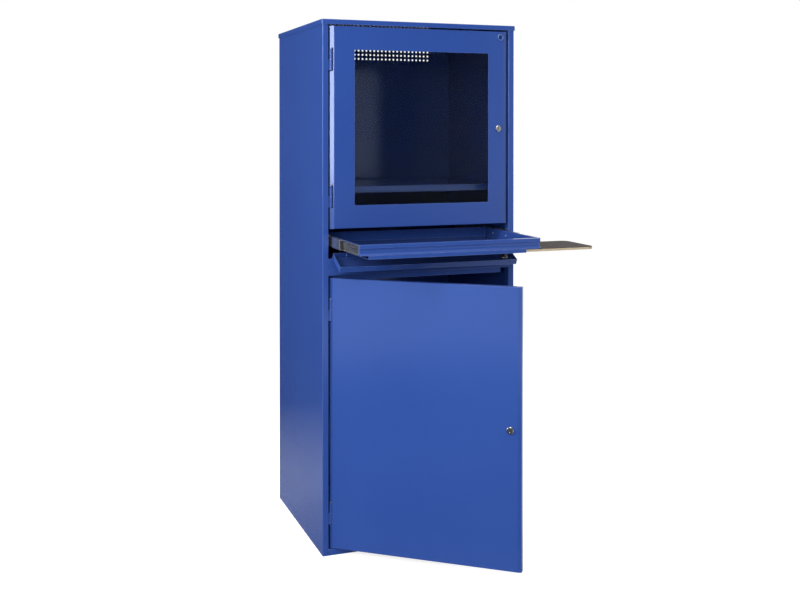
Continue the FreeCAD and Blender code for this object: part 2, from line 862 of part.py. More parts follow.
def drawer():
    tray = new_body("drawer_tray")
    pad_z(tray, rectangle((-tray_half, tray_front), (tray_half, tray_back)), drawer_bottom, drawer_top)
    hollow = rectangle((-tray_half + size.sheet, tray_front + size.sheet),
                       (tray_half - size.sheet, tray_back - size.sheet))
    cut_z(tray, hollow, drawer_bottom + size.sheet, drawer_top)

    face = new_body("drawer_front")
    bar = rectangle((drawer_face, drawer_bottom), (tray_front, drawer_top))
    pad_x(face, bar, -tray_half, tray_half)
    round_edges(face, size.bend_radius, {"y": drawer_face, "z": drawer_top})
    cove_low = drawer_bottom + size.cove_bottom_strip
    cove_high = drawer_top - size.drawer_front_lip
    half_chord = (cove_high.value - cove_low.value) / 2
    sag = size.cove_depth.value
    cove_share = (half_chord ** 2 + sag ** 2) / (2 * sag * half_chord)
    cove_radius = (cove_high - cove_low) * (cove_share / 2)
    cove_y = drawer_face + size.cove_depth - cove_radius
    cove = Round((cove_y, (cove_low + cove_high) / 2), cove_radius)
    cut_x(face, cove, -tray_half - size.overrun, tray_half + size.overrun)
    cavity = rectangle((-tray_half + size.sheet, drawer_bottom + size.sheet),
                       (tray_half - size.sheet, drawer_top - size.sheet))
    cavity_front = drawer_face + size.cove_depth + size.sheet
    cut_y(face, cavity, cavity_front, tray_front + size.overrun)

    sleeve = new_body("mouse_board_sleeve")
    sleeve_front = drawer_face + size.sleeve_setback
    sleeve_right = tray_half - size.sleeve_right_inset
    board_stack = size.board_fit + size.board_core + size.board_laminate + size.board_room
    sleeve_bottom = drawer_bottom - board_stack - size.sheet
    board_front = sleeve_front + size.sheet + size.board_fit
    board_back = board_front + size.board_depth
    sleeve_back = board_back + size.board_fit + size.sheet
    path = [
        (sleeve_front, drawer_bottom),
        (sleeve_front, sleeve_bottom),
        (sleeve_back, sleeve_bottom),
        (sleeve_back, drawer_bottom),
    ]
    sleeve_left = -tray_half + size.sleeve_left_inset
    pad_x(sleeve, folded(path, size.sheet, 1), sleeve_left, sleeve_right)

    moving = [tray, face, sleeve]
    running = []
    for side, name in ((-1, "left"), (1, "right")):
        inner, runner = slides(side, name)
        moving += inner
        running += runner
    shift(moving, zero, -size.drawer_out)
    shift(running, zero, -size.drawer_out / 2)

    level = sleeve_bottom + size.sheet + size.board_fit
    core_top = level + size.board_core
    layers = [
        ("mouse_board_core", level, core_top),
        ("mouse_board_laminate", core_top, core_top + size.board_laminate),
    ]
    outline = rectangle((sleeve_right - size.board_length, board_front), (sleeve_right, board_back))
    corners = [{"x": sleeve_right, "y": board_front}, {"x": sleeve_right, "y": board_back}]
    board = []
    for label, low, high in layers:
        layer = new_body(label)
        pad_z(layer, outline, low, high)
        round_edges(layer, size.board_corner_radius, *corners)
        board.append(layer)
    shift(board, size.board_out, -size.drawer_out)


# Rest pose

def turn_open(bodies, point, axis, degrees):
    turn = FreeCAD.Rotation(axis, degrees)
    for body in bodies:
        body.Placement = FreeCAD.Placement(point - turn.multVec(point), turn)


def shift(bodies, right, along):
    for body in bodies:
        body.setExpression("Placement.Base.x", right.text)
        body.setExpression("Placement.Base.y", along.text)


def write_parts():
    doc.recompute()
    failed = [item.Name for item in doc.Objects if {"Invalid", "Error"} & set(item.State)]
    failed += [body.Label for body in nodes if body.Shape.isNull() or not body.Shape.isValid()]
    if failed:
        raise RuntimeError("failed: " + ", ".join(failed))
    os.makedirs("parts", exist_ok=True)
    for body in nodes:
        body.Shape.exportStep("parts/%s.step" % body.Label)
    print("%d parts written" % len(nodes))


side_panel("left_side_panel", -1)
side_panel("right_side_panel", 1)
back_panel()
top_cover()
base_pan()
middle_rail()
partition("upper_partition", bay_top + size.sheet, -size.overrun)
partition("lower_partition", size.rail_top, size.sheet)
monitor_shelf()
shelf_bracket("shelf_bracket_left", -1)
shelf_bracket("shelf_bracket_right", 1)
upper_door()
lower_door()
flap()
drawer()
write_parts()
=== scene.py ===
import json
import math

import bmesh
import bpy
from mathutils import Matrix, Vector


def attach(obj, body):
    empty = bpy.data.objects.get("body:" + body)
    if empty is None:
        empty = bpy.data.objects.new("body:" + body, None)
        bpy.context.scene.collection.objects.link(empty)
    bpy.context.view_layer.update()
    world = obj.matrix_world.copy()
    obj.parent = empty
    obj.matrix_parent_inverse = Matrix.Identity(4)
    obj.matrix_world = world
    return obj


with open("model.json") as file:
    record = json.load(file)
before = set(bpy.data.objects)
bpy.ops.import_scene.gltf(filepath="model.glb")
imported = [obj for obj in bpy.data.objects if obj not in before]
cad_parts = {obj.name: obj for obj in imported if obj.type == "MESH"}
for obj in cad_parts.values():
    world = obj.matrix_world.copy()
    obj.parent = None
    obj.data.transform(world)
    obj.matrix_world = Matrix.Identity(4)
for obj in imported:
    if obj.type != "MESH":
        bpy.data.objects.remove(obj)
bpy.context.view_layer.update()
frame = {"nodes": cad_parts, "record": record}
scene = bpy.context.scene
print("frame loaded:", len(frame["nodes"]), "nodes")


# node helpers

def addNode(tree, kind, values=None, **settings):
    node = tree.nodes.new(kind)
    for name, value in settings.items():
        setattr(node, name, value)
    for socket, value in (values or {}).items():
        node.inputs[socket].default_value = value
    return node


def newGroup(name, inputs, outputs):
    tree = bpy.data.node_groups.new(name, "ShaderNodeTree")
    for label, kind, value in inputs:
        socket = tree.interface.new_socket(label, in_out="INPUT", socket_type=kind)
        if value is not None:
            socket.default_value = value
    for label, kind in outputs:
        tree.interface.new_socket(label, in_out="OUTPUT", socket_type=kind)
    return tree, tree.nodes.new("NodeGroupInput"), tree.nodes.new("NodeGroupOutput")


def placeGroup(tree, group, coords, values):
    node = addNode(tree, "ShaderNodeGroup", values, node_tree=group)
    tree.links.new(coords.outputs["Object"], node.inputs["Vector"])
    return node


# a Mix node keeps its colours at these places, after the ones for numbers and vectors
mixColours = {"first": 6, "second": 7, "result": 2}


def blendColour(tree, mask, colourA, colourB):
    mix = addNode(tree, "ShaderNodeMix", data_type="RGBA")
    tree.links.new(mask, mix.inputs["Factor"])
    for place, colour in (("first", colourA), ("second", colourB)):
        socket = mix.inputs[mixColours[place]]
        if isinstance(colour, bpy.types.NodeSocket):
            tree.links.new(colour, socket)
        else:
            socket.default_value = (*colour, 1)
    return mix.outputs[mixColours["result"]]


def ramp(tree, value, low, high, outLow, outHigh):
    limits = {"From Min": low, "From Max": high, "To Min": outLow, "To Max": outHigh}
    node = addNode(tree, "ShaderNodeMapRange", limits)
    tree.links.new(value, node.inputs["Value"])
    return node.outputs["Result"]


# shared effects

grainSpec = {
    "peelScale": 420.0, "driftScale": 2.5,
    "peel": {"Detail": 2.0, "Roughness": 0.45}, "drift": {"Detail": 3.0, "Roughness": 0.55},
}


def makeGrainGroup(spec):
    # fine orange peel for the height, and a slow drift for the colour
    tree, given, out = newGroup(
        "orangePeel",
        [("Vector", "NodeSocketVector", None), ("Peel Scale", "NodeSocketFloat", spec["peelScale"]),
         ("Drift Scale", "NodeSocketFloat", spec["driftScale"])],
        [("Height", "NodeSocketFloat"), ("Drift", "NodeSocketFloat")])
    peel = addNode(tree, "ShaderNodeTexNoise", spec["peel"])
    drift = addNode(tree, "ShaderNodeTexNoise", spec["drift"])
    for noise, scale in ((peel, "Peel Scale"), (drift, "Drift Scale")):
        tree.links.new(given.outputs["Vector"], noise.inputs["Vector"])
        tree.links.new(given.outputs[scale], noise.inputs["Scale"])
    tree.links.new(peel.outputs["Fac"], out.inputs["Height"])
    tree.links.new(drift.outputs["Fac"], out.inputs["Drift"])
    return tree


edgeSpec = {
    "reach": 0.0015, "samples": 4, "flatTurn": 0.995, "sharpTurn": 0.82,
    "breakup": {"Scale": 60.0, "Detail": 3.0}, "patchBand": (0.35, 0.65), "leastPatch": 0.35,
}


def makeEdgeGroup(spec):
    # how far the surface normal turns within a short reach, broken up by noise; it marks the edges that get
    # scuffed paint and a painted highlight
    tree, given, out = newGroup(
        "edgeWearAndHighlight",
        [("Vector", "NodeSocketVector", None), ("Reach", "NodeSocketFloat", spec["reach"])],
        [("Mask", "NodeSocketFloat")])
    rounded = addNode(tree, "ShaderNodeBevel", samples=spec["samples"])
    tree.links.new(given.outputs["Reach"], rounded.inputs["Radius"])
    flat = addNode(tree, "ShaderNodeNewGeometry")
    turn = addNode(tree, "ShaderNodeVectorMath", operation="DOT_PRODUCT")
    tree.links.new(rounded.outputs["Normal"], turn.inputs[0])
    tree.links.new(flat.outputs["Normal"], turn.inputs[1])
    edge = ramp(tree, turn.outputs["Value"], spec["flatTurn"], spec["sharpTurn"], 0, 1)
    breakup = addNode(tree, "ShaderNodeTexNoise", spec["breakup"])
    tree.links.new(given.outputs["Vector"], breakup.inputs["Vector"])
    patch = ramp(tree, breakup.outputs["Fac"], *spec["patchBand"], spec["leastPatch"], 1)
    both = addNode(tree, "ShaderNodeMath", operation="MULTIPLY")
    tree.links.new(edge, both.inputs[0])
    tree.links.new(patch, both.inputs[1])
    tree.links.new(both.outputs[0], out.inputs["Mask"])
    return tree


dustSpec = {
    "amount": 0.1, "slopeBand": (0.55, 0.98), "filmBand": (0.3, 0.75), "leastFilm": 0.35,
    "patches": {"Scale": 14.0, "Detail": 5.0, "Roughness": 0.6},
}


def makeDustGroup(spec):
    # a thin film on faces that look up, in soft patches
    tree, given, out = newGroup(
        "restingDust",
        [("Vector", "NodeSocketVector", None), ("Amount", "NodeSocketFloat", spec["amount"])],
        [("Mask", "NodeSocketFloat")])
    face = addNode(tree, "ShaderNodeNewGeometry")
    split = addNode(tree, "ShaderNodeSeparateXYZ")
    tree.links.new(face.outputs["Normal"], split.inputs[0])
    upward = ramp(tree, split.outputs["Z"], *spec["slopeBand"], 0, 1)
    patches = addNode(tree, "ShaderNodeTexNoise", spec["patches"])
    tree.links.new(given.outputs["Vector"], patches.inputs["Vector"])
    film = ramp(tree, patches.outputs["Fac"], *spec["filmBand"], spec["leastFilm"], 1)
    shade = addNode(tree, "ShaderNodeMath", operation="MULTIPLY")
    tree.links.new(upward, shade.inputs[0])
    tree.links.new(film, shade.inputs[1])
    level = addNode(tree, "ShaderNodeMath", operation="MULTIPLY")
    tree.links.new(shade.outputs[0], level.inputs[0])
    tree.links.new(given.outputs["Amount"], level.inputs[1])
    tree.links.new(level.outputs[0], out.inputs["Mask"])
    return tree


streakSpec = {
    "stretch": (900.0, 14.0, 900.0),
    "lines": {"Scale": 1.0, "Detail": 3.0}, "cloud": {"Scale": 90.0, "Detail": 4.0},
}


def makeStreakGroup(spec):
    # fine lines drawn out along one axis, as rolling leaves them, and soft clouds
    tree, given, out = newGroup(
        "rolledStreaks",
        [("Vector", "NodeSocketVector", None), ("Stretch", "NodeSocketVector", spec["stretch"])],
        [("Streak", "NodeSocketFloat"), ("Cloud", "NodeSocketFloat")])
    scaled = addNode(tree, "ShaderNodeVectorMath", operation="MULTIPLY")
    tree.links.new(given.outputs["Vector"], scaled.inputs[0])
    tree.links.new(given.outputs["Stretch"], scaled.inputs[1])
    lines = addNode(tree, "ShaderNodeTexNoise", spec["lines"])
    tree.links.new(scaled.outputs[0], lines.inputs["Vector"])
    cloud = addNode(tree, "ShaderNodeTexNoise", spec["cloud"])
    tree.links.new(given.outputs["Vector"], cloud.inputs["Vector"])
    tree.links.new(lines.outputs["Fac"], out.inputs["Streak"])
    tree.links.new(cloud.outputs["Fac"], out.inputs["Cloud"])
    return tree


grain = makeGrainGroup(grainSpec)
edgeWearAndHighlight = makeEdgeGroup(edgeSpec)
dust = makeDustGroup(dustSpec)
streaks = makeStreakGroup(streakSpec)
print("shared effects ready")


# materials

# the part of each noise's range that a finish spreads its own values over
noiseBands = {"drift": (0.25, 0.75), "fine": (0.3, 0.7), "fibre": (0.32, 0.68), "smear": (0.45, 0.8)}


def newMaterial(name, **plain):
    material = bpy.data.materials.new(name)
    material.use_nodes = True
    tree = material.node_tree
    shader = tree.nodes["Principled BSDF"]
    for socket, value in plain.items():
        shader.inputs[socket].default_value = value
    return material, tree, shader, tree.nodes.new("ShaderNodeTexCoord")


def bumpFrom(tree, shader, height, depth):
    bump = addNode(tree, "ShaderNodeBump", {"Strength": 1.0, "Distance": depth})
    tree.links.new(height, bump.inputs["Height"])
    tree.links.new(bump.outputs["Normal"], shader.inputs["Normal"])


# the edge colour is a pale blue laid along edges and folds: partly scuffed paint, mostly a painted highlight
# for the light the small rounded folds catch
paintLook = {
    "deep": (0.021, 0.060, 0.265), "light": (0.027, 0.072, 0.298), "rubbedAndHighlight": (0.20, 0.29, 0.62),
    "dust": (0.30, 0.33, 0.40), "dustAmount": 0.10, "peelScale": 420.0, "peelDepth": 0.00006,
    "roughLow": 0.11, "roughHigh": 0.16, "specular": 0.5, "sheen": (0.68, 0.78, 1.0),
    "edgeReach": 0.002, "wearAndHighlightAmount": 0.7,
}


def makePaint(name, look):
    plain = {"Specular IOR Level": look["specular"], "Specular Tint": (*look["sheen"], 1)}
    material, tree, shader, coords = newMaterial(name, **plain)
    peel = placeGroup(tree, grain, coords, {"Peel Scale": look["peelScale"]})
    edgeMask = placeGroup(tree, edgeWearAndHighlight, coords, {"Reach": look["edgeReach"]})
    film = placeGroup(tree, dust, coords, {"Amount": look["dustAmount"]})
    body = blendColour(tree, peel.outputs["Drift"], look["deep"], look["light"])
    # edges lightened towards the pale edge blue: scuffed paint and a painted highlight along the folds
    wearAndHighlight = ramp(tree, edgeMask.outputs["Mask"], 0, 1, 0, look["wearAndHighlightAmount"])
    wornAndHighlit = blendColour(tree, wearAndHighlight, body, look["rubbedAndHighlight"])
    dusty = blendColour(tree, film.outputs["Mask"], wornAndHighlit, look["dust"])
    tree.links.new(dusty, shader.inputs["Base Color"])
    rough = ramp(tree, peel.outputs["Drift"], *noiseBands["drift"], look["roughLow"], look["roughHigh"])
    tree.links.new(rough, shader.inputs["Roughness"])
    bumpFrom(tree, shader, peel.outputs["Height"], look["peelDepth"])
    return material


zincLook = {
    "dark": (0.36, 0.38, 0.41), "bright": (0.47, 0.49, 0.53), "roughLow": 0.24, "roughHigh": 0.34,
    "stretch": (900.0, 14.0, 900.0), "depth": 0.00002,
}
chromeLook = {
    "dark": (0.30, 0.31, 0.33), "bright": (0.46, 0.47, 0.49), "roughLow": 0.10, "roughHigh": 0.20,
    "stretch": (500.0, 500.0, 500.0), "depth": 0.000005,
}
passivateLook = {
    "dark": (0.36, 0.27, 0.09), "bright": (0.58, 0.50, 0.22), "roughLow": 0.25, "roughHigh": 0.42,
    "stretch": (260.0, 260.0, 40.0), "depth": 0.00001,
}


def makeMetal(name, look):
    material, tree, shader, coords = newMaterial(name, Metallic=1.0)
    lines = placeGroup(tree, streaks, coords, {"Stretch": look["stretch"]})
    tone = ramp(tree, lines.outputs["Cloud"], *noiseBands["fine"], 0, 1)
    tree.links.new(blendColour(tree, tone, look["dark"], look["bright"]), shader.inputs["Base Color"])
    rough = ramp(tree, lines.outputs["Streak"], *noiseBands["fine"], look["roughLow"], look["roughHigh"])
    tree.links.new(rough, shader.inputs["Roughness"])
    bumpFrom(tree, shader, lines.outputs["Streak"], look["depth"])
    return material


blackLook = {
    "deep": (0.009, 0.009, 0.010), "light": (0.017, 0.017, 0.018), "peelScale": 1500.0,
    "peelDepth": 0.00008, "roughLow": 0.45, "roughHigh": 0.62, "specular": 0.5,
}
# the plug is coloured darker than the door's paint: painted shade standing in for its dark dished centre
plugShadedLook = {
    "deep": (0.008, 0.030, 0.125), "light": (0.011, 0.038, 0.150), "peelScale": 900.0,
    "peelDepth": 0.00002, "roughLow": 0.09, "roughHigh": 0.15, "specular": 0.2,
}
# the rim is the door's blue, made lighter still as a painted highlight for its bright arcs
rimLitLook = {
    "deep": (0.034, 0.088, 0.330), "light": (0.042, 0.102, 0.370), "peelScale": 900.0,
    "peelDepth": 0.00002, "roughLow": 0.08, "roughHigh": 0.13, "specular": 1.0,
}
laminateLook = {
    "deep": (0.024, 0.017, 0.016), "light": (0.042, 0.032, 0.030), "peelScale": 1100.0,
    "peelDepth": 0.00012, "roughLow": 0.62, "roughHigh": 0.78, "specular": 0.12,
}
plasticDriftScale = 40.0


def makePlastic(name, look):
    material, tree, shader, coords = newMaterial(name, **{"Specular IOR Level": look["specular"]})
    scales = {"Peel Scale": look["peelScale"], "Drift Scale": plasticDriftScale}
    peel = placeGroup(tree, grain, coords, scales)
    body = blendColour(tree, peel.outputs["Drift"], look["deep"], look["light"])
    tree.links.new(body, shader.inputs["Base Color"])
    rough = ramp(tree, peel.outputs["Height"], *noiseBands["fine"], look["roughLow"], look["roughHigh"])
    tree.links.new(rough, shader.inputs["Roughness"])
    bumpFrom(tree, shader, peel.outputs["Height"], look["peelDepth"])
    return material


coreLook = {
    "dark": (0.38, 0.30, 0.20), "light": (0.60, 0.50, 0.36), "stretch": (55.0, 55.0, 900.0),
    "rough": 0.62, "depth": 0.00012,
}


def makeBoardCore(name, look):
    # pressed fibres, seen as short flecks along the cut edge
    material, tree, shader, coords = newMaterial(name, Roughness=look["rough"])
    fibre = placeGroup(tree, streaks, coords, {"Stretch": look["stretch"]})
    fleck = ramp(tree, fibre.outputs["Streak"], *noiseBands["fibre"], 0, 1)
    tree.links.new(blendColour(tree, fleck, look["dark"], look["light"]), shader.inputs["Base Color"])
    bumpFrom(tree, shader, fibre.outputs["Streak"], look["depth"])
    return material


paneLook = {"tint": (0.93, 0.96, 0.97), "ior": 1.12, "roughLow": 0.0, "roughHigh": 0.03, "smearScale": 5.0}


def makePane(name, look):
    plain = {"Base Color": (*look["tint"], 1), "IOR": look["ior"], "Transmission Weight": 1.0}
    material, tree, shader, coords = newMaterial(name, **plain)
    smear = placeGroup(tree, grain, coords, {"Drift Scale": look["smearScale"]})
    rough = ramp(tree, smear.outputs["Drift"], *noiseBands["smear"], look["roughLow"], look["roughHigh"])
    tree.links.new(rough, shader.inputs["Roughness"])
    return material


finishes = {
    "blue_paint": makePaint("cabinetBlue", paintLook),
    "zinc_steel": makeMetal("zincSteel", zincLook),
    "lock_chrome": makeMetal("lockChrome", chromeLook),
    "yellow_zinc": makeMetal("yellowPassivate", passivateLook),
    "clear_pane": makePane("windowClear", paneLook),
    "black_plastic": makePlastic("blackPlastic", blackLook),
    "blue_plastic": makePlastic("plugBlueShaded", plugShadedLook),
    "board_core": makeBoardCore("boardCore", coreLook),
    "board_laminate": makePlastic("boardLaminate", laminateLook),
}
for subpart in frame["record"]["subparts"]:
    nodeObject = frame["nodes"][subpart["node"]]
    nodeObject.data.materials.clear()
    nodeObject.data.materials.append(finishes[subpart["material_slot"]])


# modelling helpers

modelling = {"smoothDegrees": 35, "nearly": 1e-6, "facing": 0.9}


def deselectAll():
    if bpy.context.object and bpy.context.object.mode != "OBJECT":
        bpy.ops.object.mode_set(mode="OBJECT")
    bpy.ops.object.select_all(action="DESELECT")


def selectFaces(test):
    mesh = bmesh.from_edit_mesh(bpy.context.object.data)
    for face in mesh.faces:
        face.select_set(False)
    for face in mesh.faces:
        if test(face.calc_center_median(), face.normal):
            face.select_set(True)
    mesh.select_flush_mode()
    bmesh.update_edit_mesh(bpy.context.object.data)


def selectEdges(test):
    mesh = bmesh.from_edit_mesh(bpy.context.object.data)
    for edge in mesh.edges:
        edge.select_set(False)
    for edge in mesh.edges:
        if all(test(vert.co) for vert in edge.verts):
            edge.select_set(True)
    bmesh.update_edit_mesh(bpy.context.object.data)


def pushFaces(rise, shrink=1.0):
    bpy.ops.mesh.extrude_region_move(TRANSFORM_OT_translate={"value": (0, 0, rise)})
    if shrink != 1.0:
        bpy.ops.transform.resize(value=(shrink, shrink, 1))


def finishPattern(name, material):
    bpy.ops.object.mode_set(mode="OBJECT")
    bpy.ops.object.shade_smooth_by_angle(angle=math.radians(modelling["smoothDegrees"]))
    pattern = bpy.context.object
    pattern.name = name
    pattern.data.materials.append(material)
    return pattern


def standOn(point, outward):
    # takes a pattern that stands on z = 0 to a seat in the cabinet
    turn = Vector((0, 0, 1)).rotation_difference(Vector(outward))
    return Matrix.Translation(Vector(point)) @ turn.to_matrix().to_4x4()


def copyTo(pattern, name, place, body):
    piece = pattern.copy()
    piece.data = pattern.data.copy()
    piece.name = name
    scene.collection.objects.link(piece)
    deselectAll()
    piece.select_set(True)
    bpy.context.view_layer.objects.active = piece
    piece.matrix_world = place
    bpy.ops.object.transform_apply(location=True, rotation=True, scale=True)
    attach(piece, body)


def dropPattern(pattern):
    bpy.data.objects.remove(pattern)


# screws with a cross recess

panScrew = {
    "headRadius": 0.0036, "headHeight": 0.0021, "edgeRound": 0.0009, "sides": 24,
    "recessWidth": 0.0011, "recessLength": 0.0040, "recessDepth": 0.0012,
    "roundSteps": 3, "roundProfile": 0.6,
}


def makePanScrew(spec):
    deselectAll()
    high = spec["headHeight"]
    bpy.ops.mesh.primitive_cylinder_add(vertices=spec["sides"], radius=spec["headRadius"], depth=high,
                                        location=(0, 0, high / 2))
    bpy.ops.object.transform_apply(location=True)
    bpy.ops.object.mode_set(mode="EDIT")
    bpy.ops.mesh.select_mode(type="EDGE")
    top = high - modelling["nearly"]
    selectEdges(lambda co: co.z > top)
    bpy.ops.mesh.bevel(offset=spec["edgeRound"], segments=spec["roundSteps"], profile=spec["roundProfile"])
    wide, reach = spec["recessWidth"] / 2, spec["recessLength"] / 2
    for axis in ((1, 0, 0), (0, 1, 0)):
        for step in (-reach, -wide, wide, reach):
            bpy.ops.mesh.select_all(action="SELECT")
            bpy.ops.mesh.bisect(plane_co=[step * part for part in axis], plane_no=axis)
    bpy.ops.mesh.select_mode(type="FACE")

    def inCross(centre, normal):
        across, along = sorted((abs(centre.x), abs(centre.y)))
        onTop = normal.z > modelling["facing"] and centre.z > top
        return onTop and across < wide and along < reach

    selectFaces(inCross)
    pushFaces(-spec["recessDepth"])
    return finishPattern("panScrew", finishes["zinc_steel"])


# blind rivets with their sunk stems

blindRivet = {
    "rimRadius": 0.0033, "rimHeight": 0.0004, "domeHeight": 0.0012, "stemRadius": 0.0011,
    "stemSink": 0.0006, "stemTaper": 0.92, "sides": 24, "rings": 4,
}


def makeBlindRivet(spec):
    deselectAll()
    rim = spec["rimHeight"]
    bpy.ops.mesh.primitive_cylinder_add(vertices=spec["sides"], radius=spec["rimRadius"], depth=rim,
                                        location=(0, 0, rim / 2))
    bpy.ops.object.transform_apply(location=True)
    bpy.ops.object.mode_set(mode="EDIT")
    bpy.ops.mesh.select_mode(type="FACE")
    selectFaces(lambda centre, normal: normal.z > modelling["facing"])
    radius, level = spec["rimRadius"], 0.0
    for ring in range(1, spec["rings"] + 1):
        share = ring / spec["rings"]
        nextRadius = spec["rimRadius"] + (spec["stemRadius"] - spec["rimRadius"]) * share
        nextLevel = spec["domeHeight"] * math.sin(share * math.pi / 2)
        pushFaces(nextLevel - level, nextRadius / radius)
        radius, level = nextRadius, nextLevel
    pushFaces(-spec["stemSink"], spec["stemTaper"])
    return finishPattern("blindRivet", finishes["blue_paint"])


# threads on the lock barrels, cut as one helix

lockThread = {
    "barrelRadius": 0.008, "crest": 0.0004, "rootSink": 0.0001, "pitch": 0.0015, "rootShare": 0.42,
    "start": 0.0064, "length": 0.0180, "stepsPerTurn": 32,
}


def makeLockThread(spec):
    deselectAll()
    half = spec["pitch"] * spec["rootShare"]
    bpy.ops.mesh.primitive_circle_add(vertices=3, radius=half, fill_type="NOTHING", location=(0, 0, 0))
    bpy.ops.object.mode_set(mode="EDIT")
    mesh = bmesh.from_edit_mesh(bpy.context.object.data)
    inner, outer = spec["barrelRadius"] - spec["rootSink"], spec["barrelRadius"] + spec["crest"]
    for vert, place in zip(mesh.verts, ((outer, 0, 0), (inner, 0, half), (inner, 0, -half))):
        vert.co = place
    bmesh.update_edit_mesh(bpy.context.object.data)
    bpy.ops.object.mode_set(mode="OBJECT")
    turns = int(spec["length"] / spec["pitch"])
    winding = bpy.context.object.modifiers.new("helix", "SCREW")
    winding.axis = "Z"
    winding.screw_offset = spec["pitch"]
    winding.iterations = turns
    winding.steps = winding.render_steps = spec["stepsPerTurn"]
    winding.use_merge_vertices = False
    bpy.ops.object.modifier_apply(modifier="helix")
    bpy.ops.object.mode_set(mode="EDIT")
    bpy.ops.mesh.select_all(action="SELECT")
    bpy.ops.mesh.normals_make_consistent(inside=False)
    bpy.ops.mesh.select_all(action="DESELECT")
    bpy.ops.mesh.select_mode(type="EDGE")
    bpy.ops.mesh.select_non_manifold(extend=False)
    bpy.ops.mesh.fill()
    return finishPattern("lockThread", finishes["lock_chrome"])


# where the open pieces stand at rest

restPose = {
    "doorAxis": (-0.297, -0.269, 0.0), "lowerDoorTurn": -38.5,
    "flapAxis": (0.0, -0.275, 0.917), "flapTurn": 115.0, "drawerOut": 0.286,
}


def turnedAbout(point, axis, degrees):
    there = Matrix.Translation(Vector(point))
    return there @ Matrix.Rotation(math.radians(degrees), 4, axis) @ there.inverted()


atRest = {
    "upper": Matrix.Identity(4),
    "lower": turnedAbout(restPose["doorAxis"], "Z", restPose["lowerDoorTurn"]),
    "flap": turnedAbout(restPose["flapAxis"], "X", restPose["flapTurn"]),
    "drawer": Matrix.Translation((0, -restPose["drawerOut"], 0)),
}
locks = {
    "upper": {"centre": (0.267, -0.275, 1.315), "fixed": "upper_door", "turning": "upper_lock"},
    "lower": {"centre": (0.267, -0.275, 0.437), "fixed": "lower_door", "turning": "lower_lock"},
    "flap": {"centre": (0.270, -0.275, 0.96125), "fixed": "flap", "turning": "flap_lock"},
}
lockTail = 0.0303  # from the door's face to the end of the cam's square

screwPattern = makePanScrew(panScrew)
threadPattern = makeLockThread(lockThread)
for lockName, lockSpec in locks.items():
    x, y, z = lockSpec["centre"]
    seat = standOn((x, y + lockTail, z), (0, 1, 0))
    copyTo(screwPattern, lockName + "CamScrew", atRest[lockName] @ seat, lockSpec["turning"])
    start = standOn((x, y + lockThread["start"], z), (0, 1, 0))
    copyTo(threadPattern, lockName + "LockThread", atRest[lockName] @ start, lockSpec["fixed"])
print("lock screws and threads placed")

retainerScrews = {
    "window": (-0.222, 1.077, 0.233, 1.558), "outside": 0.0156, "back": -0.269, "across": 3, "up": 3,
}


def placeRetainerScrews(spec):
    left, low, right, high = spec["window"]
    away = spec["outside"]
    seats = []
    for number in range(spec["across"]):
        x = left + (right - left) * (number + 0.5) / spec["across"]
        seats += [(x, low - away), (x, high + away)]
    for number in range(spec["up"]):
        z = low + (high - low) * (number + 0.5) / spec["up"]
        seats += [(left - away, z), (right + away, z)]
    for number, (x, z) in enumerate(seats, start=1):
        place = standOn((x, spec["back"], z), (0, 1, 0))
        copyTo(screwPattern, "retainerScrew%02d" % number, place, "upper_door")


placeRetainerScrews(retainerScrews)

slideScrews = {"wallX": 0.2865, "level": 0.967, "along": (-0.201, -0.009, 0.087)}
for side, wallX in (("Left", -slideScrews["wallX"]), ("Right", slideScrews["wallX"])):
    for number, y in enumerate(slideScrews["along"], start=1):
        seat = standOn((wallX, y, slideScrews["level"]), (-math.copysign(1, wallX), 0, 0))
        place = atRest["drawer"] @ seat
        copyTo(screwPattern, "slideScrew%s%d" % (side, number), place, "drawer")
dropPattern(screwPattern)
dropPattern(threadPattern)
print("retainer and slide screws placed")

rivetPattern = makeBlindRivet(blindRivet)
backRivets = {"flangeX": 0.3155, "face": 0.275, "low": 0.09, "high": 1.59, "count": 8}
step = (backRivets["high"] - backRivets["low"]) / (backRivets["count"] - 1)
for side, flangeX in (("Left", -backRivets["flangeX"]), ("Right", backRivets["flangeX"])):
    for number in range(backRivets["count"]):
        place = standOn((flangeX, backRivets["face"], backRivets["low"] + step * number), (0, 1, 0))
        copyTo(rivetPattern, "backRivet%s%d" % (side, number + 1), place, "carcass")

flapRivets = {"alongX": (-0.25, -0.15, -0.05, 0.05, 0.15, 0.25), "y": -0.2665, "wallTop": 0.9215}
for number, x in enumerate(flapRivets["alongX"], start=1):
    place = atRest["flap"] @ standOn((x, flapRivets["y"], flapRivets["wallTop"]), (0, 0, 1))
    copyTo(rivetPattern, "flapRivet%d" % number, place, "flap")
dropPattern(rivetPattern)
print("rivets placed")


# rolled rim of the blanking plug

plugRim = {
    "centre": (0.276, -0.275, 1.611), "ringRadius": 0.00875, "tubeRadius": 0.0021, "flatten": 0.75,
    "sink": 0.0019, "turns": 48, "sides": 20,
}


def makePlugRim(spec):
    deselectAll()
    bpy.ops.mesh.primitive_torus_add(major_radius=spec["ringRadius"], minor_radius=spec["tubeRadius"],
                                     major_segments=spec["turns"], minor_segments=spec["sides"])
    bpy.ops.object.mode_set(mode="EDIT")
    bpy.ops.mesh.select_all(action="SELECT")
    bpy.ops.transform.resize(value=(1, 1, spec["flatten"]))
    # the rim's lighter blue is partly a painted highlight
    return finishPattern("plugRimPattern", makePlastic("plugRimBlueLit", rimLitLook))


x, y, z = plugRim["centre"]
rimPattern = makePlugRim(plugRim)
seat = standOn((x, y - plugRim["sink"], z), (0, -1, 0))
copyTo(rimPattern, "plugRim", seat, "upper_door")
dropPattern(rimPattern)
print("plug rim placed")


# floor, light and camera

beforeFirstBounce = 0.5  # soft bounces are counted in whole numbers


